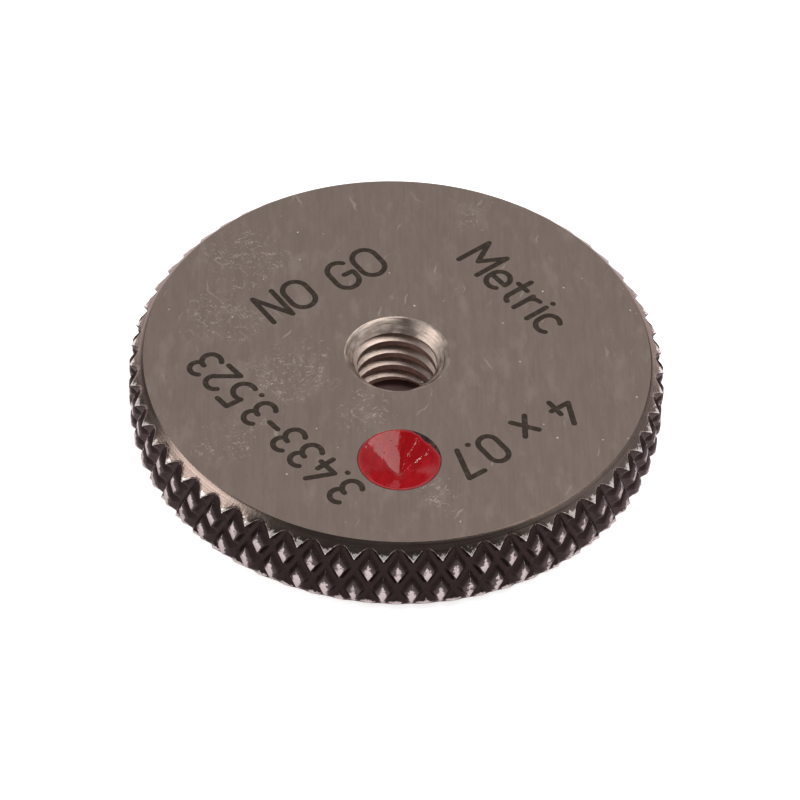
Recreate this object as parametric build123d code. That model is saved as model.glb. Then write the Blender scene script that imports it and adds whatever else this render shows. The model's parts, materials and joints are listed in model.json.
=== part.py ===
from build123d import *
import os
from math import cos, degrees, radians, sin, tan

# Thread ring gauge, no-go side, for an M4 x 0.7 external thread.
# Millimetres. The origin is the centre of the bottom face, +Z is the thread axis, and the
# drilled colour spot is on the -Y side of the top face.

# Ring blank, turned from bar and ground on both faces
outer_dia = 22.0
thickness = 3.65
rim_chamfer = 0.6

# Gauging thread, right hand, cut right through
thread_pitch = 0.7
thread_pitch_dia = 3.433
thread_minor_dia = 3.29
thread_angle = 60.0
mouth_dia = 4.26
mouth_angle = 90.0

# Diamond knurl on the rim: two crossing families of V grooves with flat lands left between
knurl_count = 59
knurl_helix_angle = 26.0
knurl_groove_angle = 90.0
knurl_depth = 0.33
knurl_row_height = 2.37
knurl_turn = -0.48

# Spot drilled in the top face with a plain drill point, and the red lacquer dabbed in it
spot_offset = 5.95
spot_dia = 3.35
spot_angle = 118.0
lacquer_film = 0.05
lacquer_pool_dia = 1.0
lacquer_margin = 0.06

# Sliver of bare wall that the brush missed, at the lacquer's edge; turn is from +X
bare_width = 0.2
bare_span = 90.0
bare_turn = 41.0

# How far a cutter reaches past the surface that it breaks through
overrun = 0.1

outer_radius = outer_dia / 2
minor_radius = thread_minor_dia / 2
mouth_radius = mouth_dia / 2
spot_radius = spot_dia / 2
spot_depth = spot_radius / tan(radians(spot_angle / 2))


def cone_cutter(radius, angle):
    """Countersink or drill point that opens to a radius at z = 0 and runs out above it."""
    slope = tan(radians(angle / 2))
    section = Polyline(
        (0, -radius / slope),
        (radius + overrun * slope, overrun),
        (0, overrun),
        close=True,
    )
    return revolve(Plane.XZ * make_face(section), Axis.Z)


def ring_blank():
    """Turned ring with a chamfered rim and a plain bore at the thread's crests."""
    face_radius = outer_radius - rim_chamfer
    section = Polyline(
        (minor_radius, 0),
        (face_radius, 0),
        (outer_radius, rim_chamfer),
        (outer_radius, thickness - rim_chamfer),
        (face_radius, thickness),
        (minor_radius, thickness),
        close=True,
    )
    return revolve(Plane.XZ * make_face(section), Axis.Z)


def thread_groove():
    """Helical V groove between the thread's crests, a turn longer than the ring at each end."""
    half_angle = tan(radians(thread_angle / 2))
    # the flanks meet where the groove, half a pitch wide at the pitch diameter, closes
    root_radius = thread_pitch_dia / 2 + thread_pitch / 4 / half_angle
    inner_radius = minor_radius - overrun
    half_width = (root_radius - inner_radius) * half_angle
    section = Polyline(
        (root_radius, 0),
        (inner_radius, half_width),
        (inner_radius, -half_width),
        close=True,
    )
    turns_height = thickness + 2 * thread_pitch
    path = Helix(thread_pitch, turns_height, minor_radius)
    groove = sweep(Plane.XZ * make_face(section), path=path, is_frenet=True)
    return Pos(Z=-thread_pitch) * groove


def knurl_groove(hand):
    """One straight V groove across the rim; hand is +1 or -1 for the way it leans."""
    reach = knurl_depth + overrun
    half_width = reach * tan(radians(knurl_groove_angle / 2))
    section = Polyline(
        (outer_radius - knurl_depth, 0),
        (outer_radius + overrun, half_width),
        (outer_radius + overrun, -half_width),
        close=True,
    )
    length = (thickness + 2 * overrun) / cos(radians(knurl_helix_angle)) + 2 * half_width
    bar = extrude(make_face(section), amount=length / 2, both=True)
    return Pos(Z=thickness / 2) * Rot(X=-hand * knurl_helix_angle) * bar


def knurl_grooves():
    """Both families of grooves, set so that a row of lands is centred at knurl_row_height."""
    spacing = 360 / knurl_count
    rise = thickness / 2 - knurl_row_height
    lean = degrees(rise * tan(radians(knurl_helix_angle)) / outer_radius)
    grooves = []
    for hand in (1, -1):
        groove = knurl_groove(hand)
        first = -90 + knurl_turn + spacing / 2 + hand * lean
        grooves += [Rot(Z=first + k * spacing) * groove for k in range(knurl_count)]
    return grooves


def spot_place():
    """Centre of the drilled spot on the top face."""
    return Pos(0, -spot_offset, thickness)


def bore_mouths():
    """Countersinks that clear the thread's first turn at both faces."""
    mouth = cone_cutter(mouth_radius, mouth_angle)
    return [Pos(Z=thickness) * mouth, Rot(X=180) * mouth]


def drilled_spot():
    """Cone that the drill point leaves in the top face."""
    return spot_place() * cone_cutter(spot_radius, spot_angle)


def brushed_area(edge_radius):
    """Off-centre cylinder that crosses the lacquer's edge at both ends of the bare sliver."""
    inner = edge_radius - bare_width
    ends = edge_radius * cos(radians(bare_span / 2))
    shift = (edge_radius**2 - inner**2) / (2 * (inner - ends))
    area = Cylinder(inner + shift, 2 * spot_depth)
    return Rot(Z=bare_turn) * Pos(X=-shift) * area


def red_lacquer():
    """Lacquer lying on the spot's wall, thin at its edge and pooled in the drill point."""
    half_angle = radians(spot_angle / 2)
    edge_radius = spot_radius - lacquer_margin * tan(half_angle)
    shore_radius = lacquer_pool_dia / 2
    # the film's surface runs beside the wall, and the pool's round surface is tangent to it
    film_floor = -spot_depth + lacquer_film / sin(half_angle)
    lip = (
        edge_radius - lacquer_film * cos(half_angle),
        -lacquer_margin + lacquer_film * sin(half_angle),
    )
    shore = (shore_radius, film_floor + shore_radius / tan(half_angle))
    pool = (0, shore[1] + shore_radius * (tan(half_angle) - 1 / cos(half_angle)))
    bottom = (0, -spot_depth)
    edge = (edge_radius, -lacquer_margin)
    wall = Polyline(pool, bottom, edge, lip, shore)
    surface = TangentArc(pool, shore, tangent=(1, 0))
    section = make_face([*wall.edges(), surface])
    full_dab = revolve(Plane.XZ * section, Axis.Z)
    return spot_place() * (full_dab & brushed_area(edge_radius))


def gauge_ring():
    """The whole steel ring in one piece, cut in the order of the workshop."""
    threaded = ring_blank() - thread_groove() - bore_mouths()
    return threaded - knurl_grooves() - drilled_spot()


os.makedirs("parts", exist_ok=True)
export_step(gauge_ring(), "parts/gauge_ring.step")
export_step(red_lacquer(), "parts/red_paint_dot.step")
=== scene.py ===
"""Small thread ring gauge in hardened steel: ground faces, knurled rim, threaded bore, red spot."""

import json
import logging
import math
from collections.abc import Callable, Iterable
from dataclasses import dataclass, field
from enum import Enum, IntEnum
from functools import reduce

import bmesh
import bpy
from mathutils import Matrix, Vector, noise
from mathutils.geometry import delaunay_2d_cdt


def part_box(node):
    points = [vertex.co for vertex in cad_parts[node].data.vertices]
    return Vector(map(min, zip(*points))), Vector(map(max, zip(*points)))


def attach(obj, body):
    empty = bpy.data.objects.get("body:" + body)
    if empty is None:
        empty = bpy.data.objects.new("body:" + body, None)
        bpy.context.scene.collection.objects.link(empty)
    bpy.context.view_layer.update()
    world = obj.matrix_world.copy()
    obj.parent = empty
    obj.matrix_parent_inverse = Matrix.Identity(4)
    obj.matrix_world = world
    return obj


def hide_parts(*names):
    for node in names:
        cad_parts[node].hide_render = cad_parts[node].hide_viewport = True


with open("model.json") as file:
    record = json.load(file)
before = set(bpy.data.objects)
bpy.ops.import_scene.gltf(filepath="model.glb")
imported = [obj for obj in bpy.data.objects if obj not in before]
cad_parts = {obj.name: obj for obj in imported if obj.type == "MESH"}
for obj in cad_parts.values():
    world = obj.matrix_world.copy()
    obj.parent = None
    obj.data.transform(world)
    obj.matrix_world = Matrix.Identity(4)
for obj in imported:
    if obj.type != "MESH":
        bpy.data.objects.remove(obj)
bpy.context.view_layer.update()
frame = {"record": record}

log = logging.getLogger("ring_gauge")

# Everything is modelled in millimetres, and each finished mesh is scaled to metres.
MM = 0.001
WELD = 2e-4

UP = Vector((0, 0, 1))
TURN = 2 * math.pi

# Name of the vertex layer that holds how bright the rim is: real wear together with painted highlights where
# the rim reflects the paper and the lights.
WEAR_AND_SHEEN = "wear"


class Region(IntEnum):
    """Surfaces of the ring that have a finish of their own, in the order of its material slots."""

    FACE = 0
    CHAMFER = 1
    KNURL = 2
    MOUTH = 3
    THREAD = 4
    SPOT = 5
    MARK = 6


class Colour(Enum):
    """Colours of the finishes, as linear red, green and blue."""

    GROUND = (0.250, 0.195, 0.167)
    GROUND_LIGHT = (0.40, 0.33, 0.29)
    TURNED = (0.215, 0.168, 0.148)
    TURNED_DARK = (0.13, 0.094, 0.083)
    # The next two are bright colours for real wear together with painted highlights.
    LAND_WEAR_AND_SHEEN = (0.45, 0.38, 0.38)
    SCUFFED_AND_SHEEN = (0.81, 0.735, 0.71)
    EDGE_TINT = (0.74, 0.66, 0.67)
    SKIN = (0.075, 0.056, 0.057)
    GROOVE_OXIDE_AND_SHADE = (0.027, 0.018, 0.017)
    BORED = (0.66, 0.56, 0.50)
    BORED_DARK = (0.34, 0.27, 0.23)
    CREST = (0.70, 0.57, 0.51)
    ROOT_SHADE = (0.06, 0.036, 0.03)
    MARK = (0.036, 0.024, 0.015)
    MARK_WORN = (0.075, 0.053, 0.038)
    LACQUER = (0.37, 0.0, 0.004)
    LACQUER_THIN = (0.46, 0.003, 0.010)
    NICK = (0.95, 0.88, 0.80)
    PAPER = (0.9, 0.9, 0.9)
    PAPER_SHADED = (0.40, 0.27, 0.27)


def everything(bm: bmesh.types.BMesh) -> list:
    """All vertices, edges and faces of a mesh."""
    return bm.verts[:] + bm.edges[:] + bm.faces[:]


def bisect(bm: bmesh.types.BMesh, point: Vector, normal: Vector, trim: bool = False) -> None:
    """Scores a mesh along a plane.

    Args:
        bm: Mesh to cut.
        point: A point of the plane.
        normal: The plane's normal.
        trim: Throws away what lies on the side that the normal points to.
    """
    bmesh.ops.bisect_plane(
        bm,
        geom=everything(bm),
        dist=WELD / 10,
        plane_co=point,
        plane_no=normal,
        clear_outer=trim,
    )


def trim_to(bm: bmesh.types.BMesh, height: float) -> None:
    """Trims a flat strip to the ring's height."""
    bisect(bm, Vector((0, 0, height)), UP, trim=True)
    bisect(bm, Vector(), -UP, trim=True)


def turn_round(
    bm: bmesh.types.BMesh,
    section: Iterable[Vector],
    centre: Vector,
    steps: int,
    weld: float,
) -> None:
    """Turns a drawn section once round an upright axis.

    Args:
        bm: Mesh that gets the turned surface.
        section: Corners of the section, from the axis outwards.
        centre: A point of the axis.
        steps: Number of steps round it.
        weld: Distance within which corners are joined afterwards.
    """
    points = [bm.verts.new(place) for place in section]
    lines = [bm.edges.new(pair) for pair in zip(points, points[1:])]
    bmesh.ops.spin(
        bm,
        geom=points + lines,
        cent=centre,
        axis=UP,
        dvec=Vector(),
        angle=TURN,
        steps=steps,
        use_merge=True,
    )
    bmesh.ops.remove_doubles(bm, verts=bm.verts[:], dist=weld)


def absorb(bm: bmesh.types.BMesh, part: bmesh.types.BMesh) -> None:
    """Adds a copy of one mesh to another, and frees it.

    Args:
        bm: Mesh that grows.
        part: Mesh that is added.
    """
    mesh = bpy.data.meshes.new("part")
    part.to_mesh(mesh)
    part.free()
    bm.from_mesh(mesh)
    bpy.data.meshes.remove(mesh)


def drop_flaps(bm: bmesh.types.BMesh) -> None:
    """Deletes slivers that hang on an edge which two other faces already share.

    Args:
        bm: Mesh that is otherwise closed.
    """
    flaps = [
        face
        for face in bm.faces
        if any(edge.is_boundary for edge in face.edges)
        and any(len(edge.link_faces) > 2 for edge in face.edges)
    ]
    bmesh.ops.delete(bm, geom=flaps, context="FACES")


def new_piece(name: str, bm: bmesh.types.BMesh, materials: Iterable[bpy.types.Material]) -> bpy.types.Object:
    """Makes the object of a finished mesh.

    Args:
        name: Name of the object and its mesh.
        bm: Mesh in millimetres, which is freed.
        materials: Finishes, in the order of the faces' material indices.

    Returns:
        The object, linked to the scene, at the origin.
    """
    bmesh.ops.scale(bm, vec=(MM, MM, MM), verts=bm.verts[:])
    mesh = bpy.data.meshes.new(name)
    bm.to_mesh(mesh)
    bm.free()
    for material in materials:
        mesh.materials.append(material)
    piece = bpy.data.objects.new(name, mesh)
    bpy.context.scene.collection.objects.link(piece)
    return piece


def shade(bm: bmesh.types.BMesh, sharp_angle: float) -> None:
    """Shades a mesh smooth, but for sharp edges off the knurl and the edges of flat faces.

    Args:
        bm: Mesh to shade.
        sharp_angle: Angle between two faces, in degrees, from which their edge is sharp.
    """
    limit = math.radians(sharp_angle)
    for face in bm.faces:
        face.smooth = True
    for edge in bm.edges:
        regions = {face.material_index for face in edge.link_faces}
        at_flat = len(regions) > 1 and bool(regions & {Region.FACE, Region.MARK})
        on_knurl = Region.KNURL in regions
        edge.smooth = (on_knurl or edge.calc_face_angle(math.pi) < limit) and not at_flat


def soft_min(first: float, second: float, blend: float) -> float:
    """Lower of two radii, rounded over where they differ by less than a blend."""
    near = max(blend - abs(first - second), 0.0) / blend
    return min(first, second) - near**2 * blend / 4


@dataclass
class RolledBand:
    """Strip of surface that is worked flat and then rolled round the ring's axis.

    The flat strip has the arc along X, the radius along Y and the height along Z.

    Args:
        radius: Radius at which the strip's length is the whole turn.
        turn: Azimuth of the strip's start, in degrees.
    """

    radius: float
    turn: float = 0.0

    @property
    def length(self) -> float:
        """Length of the flat strip."""
        return TURN * self.radius

    def score_where_equal(
        self,
        bm: bmesh.types.BMesh,
        surface: Callable[[Vector], float],
        cutter: Callable[[Vector], float],
    ) -> None:
        """Scores the flat strip where two surfaces cross.

        Args:
            bm: The flat strip.
            surface: Radius of the strip's own surface at a point.
            cutter: Radius of the surface that cuts it.
        """
        for vert in bm.verts:
            vert.co.y = surface(vert.co) - cutter(vert.co)
        bisect(bm, Vector(), Vector((0, 1, 0)))

    def roll(self, bm: bmesh.types.BMesh, surface: Callable[[Vector], float]) -> None:
        """Rolls the flat strip into a closed band and welds its seam.

        Args:
            bm: The flat strip.
            surface: Radius of the finished surface at a point of the flat strip.
        """
        for vert in bm.verts:
            angle = math.radians(self.turn) + vert.co.x / self.radius
            around = surface(vert.co)
            vert.co = Vector((around * math.cos(angle), around * math.sin(angle), vert.co.z))
        bmesh.ops.remove_doubles(bm, verts=bm.verts[:], dist=WELD)


@dataclass
class Knurl:
    """Diamond knurl: two crossing families of rounded grooves with flat lands between them.

    Args:
        rim_radius: Radius at the top of the lands.
        count: Number of grooves of each hand.
        helix_angle: Lean of the grooves from the axis, in degrees.
        depth: Depth of the grooves.
        land: Half the width of a land, in shares of the pitch.
        roundness: Power of the groove's section, where 1 is a V and more is rounder.
        row_height: Height of one row of lands above the bottom face.
        turn: Azimuth of a land of that row, in degrees.
        crown: Height of the slight dome on each land.
        unevenness: Most that the worn lands stand out of line.
        waves: Waves of the unevenness in a millimetre.
        scored: Where a tile is scored on each side of its middle, in shares of half a land.
        wear_level: Brightness in the middle of a land, real wear with a painted highlight, on a scale on
            which 1 is bright.
        fade_up: Brightness that a land's upper tip has less than its middle, so that the painted highlight
            sits at the lower tip, which reflects the paper.
        fade_aside: Brightness that a land's side corners have less than its middle.
        ridge_level: Brightness of the ridge above a land, wear with a painted highlight, as if it began in
            the land's middle.
        ridge_fade: Brightness that the ridge loses in half a land's width.
        lit_side_sheen: Painted light that the side facing the left strip light has more than the mean.
        lit_side_azimuth: Azimuth of that side, in degrees.
    """

    rim_radius: float
    count: int = 59
    helix_angle: float = 26.0
    depth: float = 0.37
    land: float = 0.22
    roundness: float = 1.8
    row_height: float = 2.37
    turn: float = -90.48
    crown: float = 0.028
    unevenness: float = 0.012
    waves: float = 1.3
    scored: tuple[float, ...] = (0.8, 1.14, 1.64)
    wear_level: float = 0.88
    fade_up: float = 0.30
    fade_aside: float = 0.48
    ridge_level: float = 1.70
    ridge_fade: float = 0.85
    lit_side_sheen: float = 0.15
    lit_side_azimuth: float = 188.0

    def __post_init__(self) -> None:
        """Works out the pitch from the number of grooves."""
        self.lean = math.tan(math.radians(self.helix_angle))
        self.pitch = TURN * self.rim_radius / self.count
        self.row_pitch = self.pitch / self.lean / 2

    def tile(self) -> bmesh.types.BMesh:
        """Makes one flat diamond, from groove to groove, scored where its flanks turn.

        Returns:
            The diamond, with its middle at the origin of the flat strip.
        """
        bm = bmesh.new()
        bmesh.ops.create_grid(bm, x_segments=1, y_segments=1, size=0.5)
        for share in self.scored:
            off = share * self.land
            for direction in (Vector((1, 0, 0)), Vector((0, 1, 0))):
                bisect(bm, direction * off, direction)
                bisect(bm, direction * -off, direction)
        for diagonal in (Vector((1, 1, 0)), Vector((1, -1, 0))):
            bisect(bm, Vector(), diagonal)
        half = self.pitch / 2
        lay = Matrix(((half, half, 0), (0, 0, 1), (-self.row_pitch, self.row_pitch, 0)))
        bmesh.ops.transform(bm, matrix=lay.to_4x4(), verts=bm.verts[:])
        return bm

    def strip(self, height: float) -> bmesh.types.BMesh:
        """Lays the tiles side by side and trims them to the ring's height.

        Args:
            height: Height of the ring.

        Returns:
            The flat strip of diamonds.
        """
        bm = self.tile()
        low = math.floor(-self.row_height / self.row_pitch)
        high = math.ceil((height - self.row_height) / self.row_pitch)
        next_column = Vector((self.pitch, 0, 0))
        next_row = Vector((self.pitch / 2, 0, self.row_pitch))
        start = Vector((0, 0, self.row_height)) + next_row * low
        bmesh.ops.translate(bm, vec=start, verts=bm.verts[:])
        for step, times in ((next_column, self.count - 1), (next_row, high - low)):
            bmesh.ops.spin(
                bm,
                geom=everything(bm),
                axis=UP,
                dvec=step,
                angle=0.0,
                steps=times,
                use_duplicate=True,
            )
        bmesh.ops.remove_doubles(bm, verts=bm.verts[:], dist=WELD)
        trim_to(bm, height)
        return bm

    def shares(self, place: Vector) -> tuple[float, float]:
        """Finds where a point of the flat strip lies between the grooves of both hands.

        Args:
            place: The point.

        Returns:
            For each hand, the distance from the middle of its land in shares of the pitch, from
            -0.5 to 0.5.
        """
        rise = (place.z - self.row_height) * self.lean
        right = (place.x - rise) / self.pitch
        left = (place.x + rise) / self.pitch
        return right - round(right), left - round(left)

    def groove(self, share: float) -> float:
        """Works out the depth of one family of grooves.

        Args:
            share: Distance from the land's middle, in shares of the pitch.

        Returns:
            Depth below the rim.
        """
        past_edge = max(0.0, (abs(share) - self.land) / (0.5 - self.land))
        dome = self.crown * min(1.0, abs(share) / self.land) ** 2
        return dome + (self.depth - dome) * (1 - (1 - past_edge) ** self.roundness)

    def surface(self, place: Vector) -> float:
        """Works out the radius of the knurled rim.

        Args:
            place: A point of the flat strip.

        Returns:
            The radius there.
        """
        depth = max(self.groove(share) for share in self.shares(place))
        around = place.x / self.rim_radius
        spot = Vector((math.cos(around), math.sin(around), place.z / self.rim_radius))
        uneven = self.unevenness * (1 + noise.noise(spot * self.rim_radius * self.waves)) / 2
        return self.rim_radius - depth - uneven

    def wear(self, place: Vector) -> float:
        """Works out the bright wear and painted highlight: most at a land's lower tip, where the land
        reflects the paper, and a trace on the ridge above it.

        Args:
            place: A point of the flat strip.

        Returns:
            The wear and painted highlight, where 1 is bright.
        """
        right, left = self.shares(place)
        height = (left - right) / (2 * self.land)
        side = abs(left + right) / (2 * self.land)
        outside = max(abs(right), abs(left)) / self.land
        slack = 0.02
        if outside < 1 + slack:
            # Painted highlight: the lower tip brighter than the upper, and the side that faces the left strip
            # light brighter.
            around = math.radians(self.turn - self.lit_side_azimuth) + place.x / self.rim_radius
            land = self.wear_level - self.fade_up * height - self.fade_aside * side
            return land + self.lit_side_sheen * math.cos(around)
        on_ridge = height > 0 and side < slack
        return max(0.0, self.ridge_level - self.ridge_fade * outside) if on_ridge else 0.0


@dataclass
class Thread:
    """Internal thread of the bore.

    Args:
        crest_radius: Radius at the crests.
        pitch: Rise in one turn.
        pitch_diameter: Diameter at which ridge and groove are equally wide.
        flank_angle: Angle between the flanks, in degrees.
        root_width: Width of the flat at the groove's bottom.
        columns: Number of steps round the bore.
    """

    crest_radius: float
    pitch: float = 0.7
    pitch_diameter: float = 3.433
    flank_angle: float = 60.0
    root_width: float = 0.06
    columns: int = 120

    def __post_init__(self) -> None:
        """Works out the section from the thread's sizes."""
        slope = math.tan(math.radians(self.flank_angle / 2))
        self.sharp_radius = self.pitch_diameter / 2 + self.pitch / 4 / slope
        self.root_radius = self.sharp_radius - self.root_width / 2 / slope
        self.crest_half = (self.sharp_radius - self.crest_radius) * slope
        self.slope = slope

    def surface(self, place: Vector) -> float:
        """Works out the radius of the thread.

        Args:
            place: A point of the flat strip, whose length is that of the crests.

        Returns:
            The radius there.
        """
        turns = place.x / (TURN * self.crest_radius)
        share = place.z / self.pitch - turns
        off = abs(share - round(share)) * self.pitch
        radius = self.sharp_radius - off / self.slope
        return min(max(radius, self.crest_radius), self.root_radius)

    def strip(self, height: float) -> bmesh.types.BMesh:
        """Draws the thread's section as flat lines and pulls it along the turn.

        Args:
            height: Height of the ring.

        Returns:
            The flat strip, trimmed to the ring's height.
        """
        bm = bmesh.new()
        marks = (-self.crest_half, -self.root_width / 2, self.root_width / 2, self.crest_half)
        grooves = range(-1, math.ceil(height / self.pitch) + 1)
        heights = [groove * self.pitch + mark for groove in grooves for mark in marks]
        points = [bm.verts.new((0, 0, z)) for z in heights]
        lines = [bm.edges.new(pair) for pair in zip(points, points[1:])]
        step = TURN * self.crest_radius / self.columns
        bmesh.ops.spin(
            bm,
            geom=points + lines,
            axis=UP,
            dvec=Vector((step, 0, self.pitch / self.columns)),
            angle=0.0,
            steps=self.columns,
        )
        trim_to(bm, height)
        return bm


@dataclass(frozen=True)
class Stroke:
    """One pull of the marking beam, in shares of the capital height.

    Args:
        start: Place of the stroke's start.
        heading: Direction at the start, in degrees.
        moves: Pairs of a length and a turn. Without a turn the length is run straight, and
            with one it is the radius of an arc that turns by that many degrees.
    """

    start: tuple[float, float]
    heading: float
    moves: tuple[tuple[float, float], ...]


def line(x0: float, y0: float, x1: float, y1: float) -> Stroke:
    """Makes a straight stroke between two points."""
    run = math.hypot(x1 - x0, y1 - y0)
    return Stroke((x0, y0), math.degrees(math.atan2(y1 - y0, x1 - x0)), ((run, 0),))


def ring_stroke(width: float, height: float) -> Stroke:
    """Makes an upright ring with straight sides, as in O and 0.

    Args:
        width: Width of the ring.
        height: Its height.

    Returns:
        The stroke, which ends where it starts.
    """
    bend = width / 2
    side = height - width
    return Stroke((width, bend), 90, ((side, 0), (bend, 180), (side, 0), (bend, 180)))


@dataclass
class Lettering:
    """Single-line lettering of the kind that a marking laser draws.

    Args:
        stroke_width: Width of the beam's line.
        space: Gap between two letters, in shares of the capital height.
        facet: Most that an arc turns in one step, in degrees.
        end_segments: Number of steps round a stroke's end.
        letters: The alphabet, each letter with its width and its strokes.
    """

    stroke_width: float = 0.24
    space: float = 0.2
    facet: float = 11.0
    end_segments: int = 14
    letters: dict[str, tuple[float, tuple[Stroke, ...]]] = field(default_factory=dict)

    def __post_init__(self) -> None:
        """Draws the alphabet, in which small letters are low and capitals 1 high."""
        low = 0.64
        self.letters = {
            " ": (0.30, ()),
            ".": (0.0, (line(0, 0, 0.01, 0),)),
            "-": (0.34, (line(0, 0.46, 0.34, 0.46),)),
            "0": (0.54, (ring_stroke(0.54, 1.0),)),
            "2": (0.52, (
                Stroke((0.02, 0.80), 66, ((0.25, -156), (0.25, -55))),
                line(0.455, 0.575, 0.0, 0.0),
                line(0.0, 0.0, 0.52, 0.0),
            )),
            "3": (0.52, (
                Stroke((0.04, 0.86), 52, ((0.24, -198),)),
                Stroke((0.22, 0.53), 0, ((0.265, -180), (0.30, -42))),
            )),
            "4": (0.56, (line(0.34, 1, 0, 0.29), line(0, 0.29, 0.56, 0.29), line(0.42, 0.52, 0.42, 0))),
            "5": (0.52, (
                line(0.46, 1, 0.07, 1),
                line(0.07, 1, 0.03, 0.54),
                Stroke((0.03, 0.54), 34, ((0.305, -190), (0.34, -40))),
            )),
            "7": (0.50, (line(0, 1, 0.5, 1), line(0.5, 1, 0.17, 0))),
            "G": (0.62, (
                Stroke((0.57, 0.84), 128, ((0.31, 142), (0.38, 0), (0.31, 180), (0.15, 0))),
                line(0.62, 0.46, 0.36, 0.46),
            )),
            "M": (0.72, (
                line(0, 0, 0, 1),
                line(0, 1, 0.36, 0.34),
                line(0.36, 0.34, 0.72, 1),
                line(0.72, 1, 0.72, 0),
            )),
            "N": (0.58, (line(0, 0, 0, 1), line(0, 1, 0.58, 0), line(0.58, 0, 0.58, 1))),
            "O": (0.66, (ring_stroke(0.66, 1.0),)),
            "c": (0.46, (Stroke((0.45, low - 0.10), 135, ((0.26, 135), (low - 0.52, 0), (0.26, 135))),)),
            "e": (0.52, (
                line(0, low / 2, 0.52, low / 2),
                Stroke((0.52, low / 2), 90, ((low / 2 - 0.26, 0), (0.26, 180), (low - 0.52, 0), (0.26, 138))),
            )),
            "i": (0.0, (line(0, 0, 0, low), line(0, 0.86, 0.01, 0.86))),
            "r": (0.30, (line(0, 0, 0, low), Stroke((0, low - 0.24), 90, ((0.24, -92),)))),
            "t": (0.34, (Stroke((0.12, 0.92), 270, ((0.74, 0), (0.18, 78))), line(-0.04, low, 0.30, low))),
            "x": (0.46, (line(0, 0, 0.46, low), line(0, low, 0.46, 0))),
        }

    def pull(self, stroke: Stroke, size: float) -> bmesh.types.BMesh:
        """Lays one stroke as a flat ribbon with round ends.

        Args:
            stroke: The stroke to draw.
            size: Height of a capital.

        Returns:
            The ribbon, at the letter's own origin.
        """
        bm = bmesh.new()
        half = self.stroke_width / 2
        pen = Vector((*stroke.start, 0)) * size
        heading = math.radians(stroke.heading)
        side = Vector((-math.sin(heading), math.cos(heading), 0)) * half
        ends = [pen.copy()]
        tip = [bm.verts.new(pen + side), bm.verts.new(pen - side)]
        front = [bm.edges.new(tip)]
        for length, turn in stroke.moves:
            run = length * size
            if turn:
                angle = math.radians(turn)
                out = Vector((-math.sin(heading), math.cos(heading), 0)) * math.copysign(run, turn)
                centre = pen + out
                steps = max(2, math.ceil(abs(turn) / self.facet))
                swept = bmesh.ops.spin(
                    bm,
                    geom=tip + front,
                    cent=centre,
                    axis=UP,
                    dvec=Vector(),
                    angle=angle,
                    steps=steps,
                )["geom_last"]
                pen = centre - Matrix.Rotation(angle, 3, "Z") @ out
                heading += angle
            else:
                swept = bmesh.ops.extrude_edge_only(bm, edges=front)["geom"]
                ahead = Vector((math.cos(heading), math.sin(heading), 0)) * run
                moved = [item for item in swept if isinstance(item, bmesh.types.BMVert)]
                bmesh.ops.translate(bm, vec=ahead, verts=moved)
                pen = pen + ahead
            tip = [item for item in swept if isinstance(item, bmesh.types.BMVert)]
            front = [edge for edge in tip[0].link_edges if edge.other_vert(tip[0]) in tip]
            ends.append(pen.copy())
        for end in (ends[0], ends[-1]):
            bmesh.ops.create_circle(
                bm,
                cap_ends=True,
                segments=self.end_segments,
                radius=half,
                matrix=Matrix.Translation(end),
            )
        return bm

    def write(
        self,
        bm: bmesh.types.BMesh,
        text: str,
        size: float,
        middle: tuple[float, float],
        facing: float,
    ) -> None:
        """Writes a straight line of text, with the tops of its letters outwards.

        Args:
            bm: Mesh that gets the ribbons.
            text: What is written.
            size: Height of a capital.
            middle: Place of the text's middle on the face.
            facing: Azimuth that the letters' tops point to, in degrees.
        """
        widths = [self.letters[letter][0] for letter in text]
        length = sum(widths) + self.space * (len(text) - 1)
        turn = Matrix.Rotation(math.radians(facing - 90), 4, "Z")
        home = Matrix.Translation(Vector((*middle, 0))) @ turn
        along = -length / 2
        for letter, width in zip(text, widths):
            shift = Matrix.Translation(Vector((along, -0.5, 0)) * size)
            for stroke in self.letters[letter][1]:
                ribbon = self.pull(stroke, size)
                bmesh.ops.transform(ribbon, matrix=home @ shift, verts=ribbon.verts[:])
                absorb(bm, ribbon)
            along += width + self.space


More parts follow.
